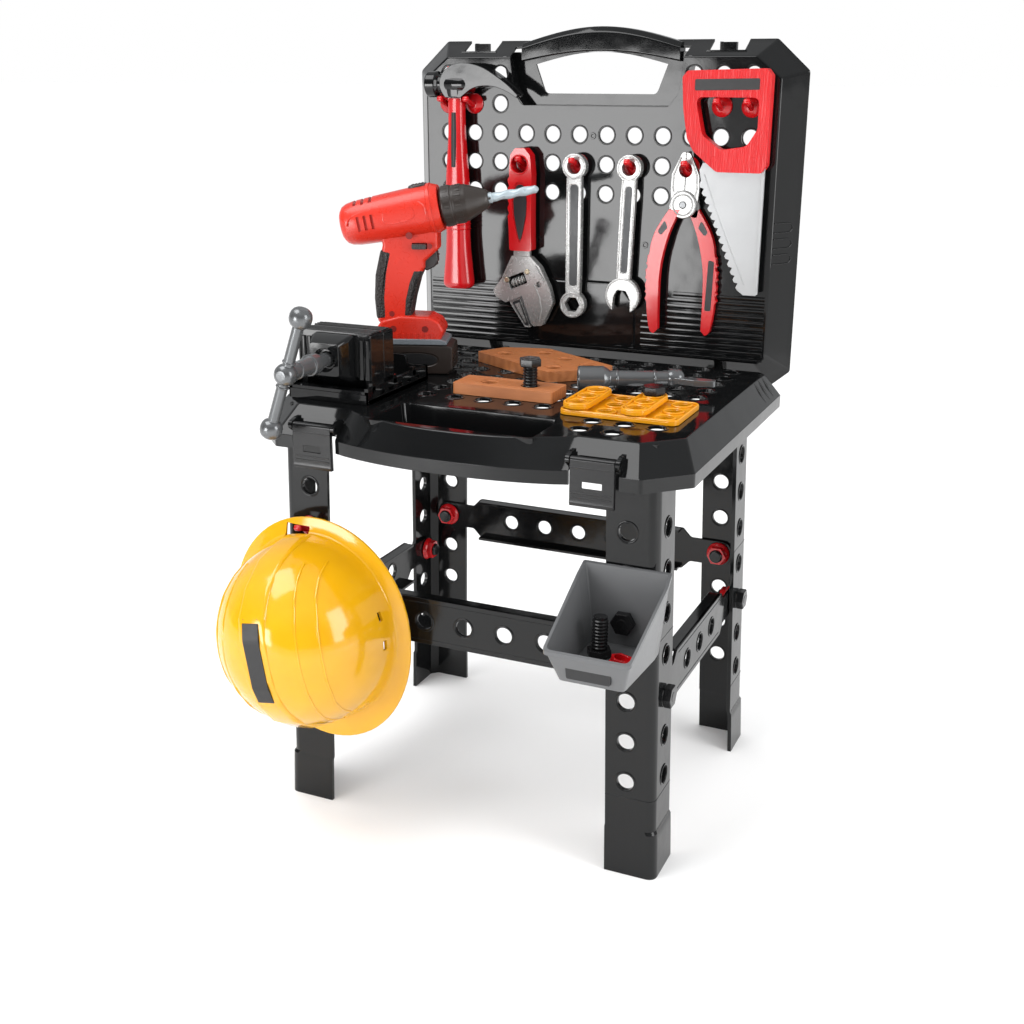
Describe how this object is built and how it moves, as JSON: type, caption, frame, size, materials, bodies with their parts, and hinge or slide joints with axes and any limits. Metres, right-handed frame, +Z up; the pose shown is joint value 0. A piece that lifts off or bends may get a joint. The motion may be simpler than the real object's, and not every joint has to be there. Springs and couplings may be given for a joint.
{
  "type": "toy tool bench",
  "caption": "Child's toy workbench: a carry case opened into a perforated worktop and tool board on drilled angle legs, with hung tools, vice, drill, bin and helmet.",
  "frame": {"origin": "centre of the bounding box's footprint, on the floor", "axes": "+Z up, the bench's front faces -Y, its width runs along X"},
  "size_m": [0.4507, 0.4763, 0.7465],
  "materials": {
    "case_black": "glossy black moulded plastic",
    "vice_black": "glossy black moulded plastic",
    "screw_grey": "satin grey plastic",
    "bolt_plastic": "satin black bolt with a red flanged nut",
    "hook_red": "glossy red plastic",
    "tool_silver": "silver coloured plastic",
    "tool_red": "glossy red plastic",
    "hammer_black": "glossy black plastic",
    "drill_red": "satin orange-red plastic",
    "drill_dark": "satin dark plastic",
    "helmet_yellow": "glossy yellow plastic",
    "bin_grey": "satin mid-grey plastic",
    "wood_look": "brown plastic with a moulded wood grain",
    "plate_yellow": "glossy yellow-orange plastic"
  },
  "bodies": {
    "bench": {"worktop": "case_black", "leg_front_left": "case_black", "leg_front_right": "case_black", "leg_back_left": "case_black", "leg_back_right": "case_black", "brace_front": "case_black", "brace_back": "case_black", "brace_left": "case_black", "brace_right": "case_black", "bolt_front_left": "bolt_plastic", "bolt_front_right": "bolt_plastic", "bolt_back_left": "bolt_plastic", "bolt_back_right": "bolt_plastic", "bolt_side_front_left": "bolt_plastic", "bolt_side_front_right": "bolt_plastic", "bolt_side_back_left": "bolt_plastic", "bolt_side_back_right": "bolt_plastic", "hook_helmet": "hook_red", "vice_base": "vice_black", "parts_bin": "bin_grey", "bolt_bin": "bolt_plastic"},
    "latch_left": {"latch_left": "case_black"},
    "latch_right": {"latch_right": "case_black"},
    "lid": {"tool_board": "case_black", "hook_hammer_left": "hook_red", "hook_hammer_right": "hook_red", "hook_spanner": "hook_red", "hook_ring_spanner": "hook_red", "hook_combination_spanner": "hook_red", "hook_pliers": "hook_red", "hook_saw_left": "hook_red", "hook_saw_right": "hook_red"},
    "vice_screw": {"vice_screw": "screw_grey"},
    "vice_jaw": {"vice_jaw": "vice_black"},
    "drill": {"drill_body": "drill_red"},
    "drill_chuck": {"drill_chuck_and_bit": "drill_dark"},
    "drill_trigger": {"drill_trigger": "drill_dark"},
    "drill_switch": {"drill_direction_switch": "drill_dark"},
    "drill_battery": {"drill_battery": "drill_dark"},
    "hammer": {"hammer_head": "hammer_black", "hammer_handle": "tool_red"},
    "saw": {"saw_handle": "tool_red", "saw_blade": "tool_silver"},
    "adjustable_spanner": {"spanner_handle": "tool_red", "spanner_head": "tool_silver"},
    "spanner_jaw": {"spanner_jaw": "tool_silver"},
    "spanner_worm": {"spanner_worm": "tool_silver"},
    "ring_spanner": {"ring_spanner": "tool_silver"},
    "combination_spanner": {"combination_spanner": "tool_silver"},
    "pliers": {"pliers_front_half": "tool_red"},
    "pliers_back": {"pliers_back_half": "tool_red"},
    "helmet": {"helmet": "helmet_yellow"},
    "plank_rear": {"plank_rear": "wood_look"},
    "plank_front": {"plank_front": "wood_look"},
    "bolt_plank": {"bolt_plank": "bolt_plastic"},
    "plate_large": {"plate_large": "plate_yellow"},
    "strip_left": {"strip_left": "plate_yellow"},
    "strip_right": {"strip_right": "plate_yellow"},
    "bolt_strip": {"bolt_strip": "bolt_plastic"},
    "box_spanner": {"box_spanner": "screw_grey"}
  },
  "joints": [
    {"name": "lid_fold", "type": "hinge", "parent": "bench", "child": "lid", "pos_m": [0.0123, 0.2324, 0.368], "axis": [1, 0, 0], "range_deg": [-150, 0]},
    {"name": "latch_left_swing", "type": "hinge", "parent": "bench", "child": "latch_left", "pos_m": [-0.1232, -0.1351, 0.399], "axis": [1, 0, 0], "range_deg": [-60, 0]},
    {"name": "latch_right_swing", "type": "hinge", "parent": "bench", "child": "latch_right", "pos_m": [0.1478, -0.1351, 0.399], "axis": [1, 0, 0], "range_deg": [-110, 0]},
    {"name": "vice_screw_turn", "type": "hinge", "parent": "bench", "child": "vice_screw", "pos_m": [-0.1317, -0.0556, 0.452], "axis": [0, -1, 0], "range_deg": [0, 1800]},
    {"name": "vice_jaw_slide", "type": "slide", "parent": "bench", "child": "vice_jaw", "axis": [0, 1, 0], "range_m": [0, 0.0402]},
    {"name": "drill_lift", "type": "slide", "parent": "bench", "child": "drill", "axis": [0, 0, 1], "range_m": [0, 0.12]},
    {"name": "chuck_spin", "type": "hinge", "parent": "drill", "child": "drill_chuck", "pos_m": [-0.09133, 0.07064, 0.5768], "axis": [0.923, 0.336, 0.1874], "continuous": true},
    {"name": "trigger_press", "type": "slide", "parent": "drill", "child": "drill_trigger", "axis": [-0.9397, -0.342, 0], "range_m": [0, 0.005], "stiffness_N_per_m": 60},
    {"name": "direction_switch_push", "type": "slide", "parent": "drill", "child": "drill_switch", "axis": [-0.342, 0.9397, 0], "range_m": [-0.002, 0.002]},
    {"name": "battery_slide", "type": "slide", "parent": "drill", "child": "drill_battery", "axis": [0.9397, 0.342, 0], "range_m": [0, 0.028]},
    {"name": "hammer_lift", "type": "slide", "parent": "lid", "child": "hammer", "axis": [0, -0.5736, 0.8192], "range_m": [0, 0.06]},
    {"name": "saw_lift", "type": "slide", "parent": "lid", "child": "saw", "axis": [0, -0.5736, 0.8192], "range_m": [0, 0.06]},
    {"name": "adjustable_spanner_lift", "type": "slide", "parent": "lid", "child": "adjustable_spanner", "axis": [0, -0.9063, 0.4226], "range_m": [0, 0.06]},
    {"name": "spanner_worm_turn", "type": "hinge", "parent": "adjustable_spanner", "child": "spanner_worm", "pos_m": [-0.06574, 0.1948, 0.48823], "axis": [-0.93, 0, -0.3675], "range_deg": [0, 1440]},
    {"name": "spanner_jaw_slide", "type": "slide", "parent": "adjustable_spanner", "child": "spanner_jaw", "axis": [-0.93, 0, -0.3675], "range_m": [0, 0.008]},
    {"name": "ring_spanner_lift", "type": "slide", "parent": "lid", "child": "ring_spanner", "axis": [0, -0.9063, 0.4226], "range_m": [0, 0.06]},
    {"name": "combination_spanner_lift", "type": "slide", "parent": "lid", "child": "combination_spanner", "axis": [0, -0.9063, 0.4226], "range_m": [0, 0.06]},
    {"name": "pliers_lift", "type": "slide", "parent": "lid", "child": "pliers", "axis": [0, -0.9063, 0.4226], "range_m": [0, 0.06]},
    {"name": "pliers_pivot", "type": "hinge", "parent": "pliers", "child": "pliers_back", "pos_m": [0.1163, 0.1964, 0.576], "axis": [0, -1, 0], "range_deg": [0, 25]},
    {"name": "helmet_lift", "type": "slide", "parent": "bench", "child": "helmet", "axis": [0, -0.9063, 0.4226], "range_m": [0, 0.06]},
    {"name": "plank_rear_lift", "type": "slide", "parent": "bench", "child": "plank_rear", "axis": [0, 0, 1], "range_m": [0, 0.03]},
    {"name": "plank_front_lift", "type": "slide", "parent": "bench", "child": "plank_front", "axis": [0, 0, 1], "range_m": [0, 0.08]},
    {"name": "bolt_plank_lift", "type": "slide", "parent": "plank_front", "child": "bolt_plank", "axis": [0, 0, 1], "range_m": [0, 0.05]},
    {"name": "plate_large_lift", "type": "slide", "parent": "bench", "child": "plate_large", "axis": [0, 0, 1], "range_m": [0, 0.08]},
    {"name": "strip_left_lift", "type": "slide", "parent": "plate_large", "child": "strip_left", "axis": [0, 0, 1], "range_m": [0, 0.05]},
    {"name": "strip_right_lift", "type": "slide", "parent": "plate_large", "child": "strip_right", "axis": [0, 0, 1], "range_m": [0, 0.05]},
    {"name": "bolt_strip_lift", "type": "slide", "parent": "strip_right", "child": "bolt_strip", "axis": [0, 0, 1], "range_m": [0, 0.04]},
    {"name": "box_spanner_lift", "type": "slide", "parent": "bench", "child": "box_spanner", "axis": [0, 0, 1], "range_m": [0, 0.08]}
  ],
  "couplings": [
    {"joint": "vice_jaw_slide", "follows": "vice_screw_turn", "m_per_rad": 0.0012732},
    {"joint": "spanner_worm_turn", "follows": "spanner_jaw_slide", "rad_per_m": 3141.5}
  ]
}
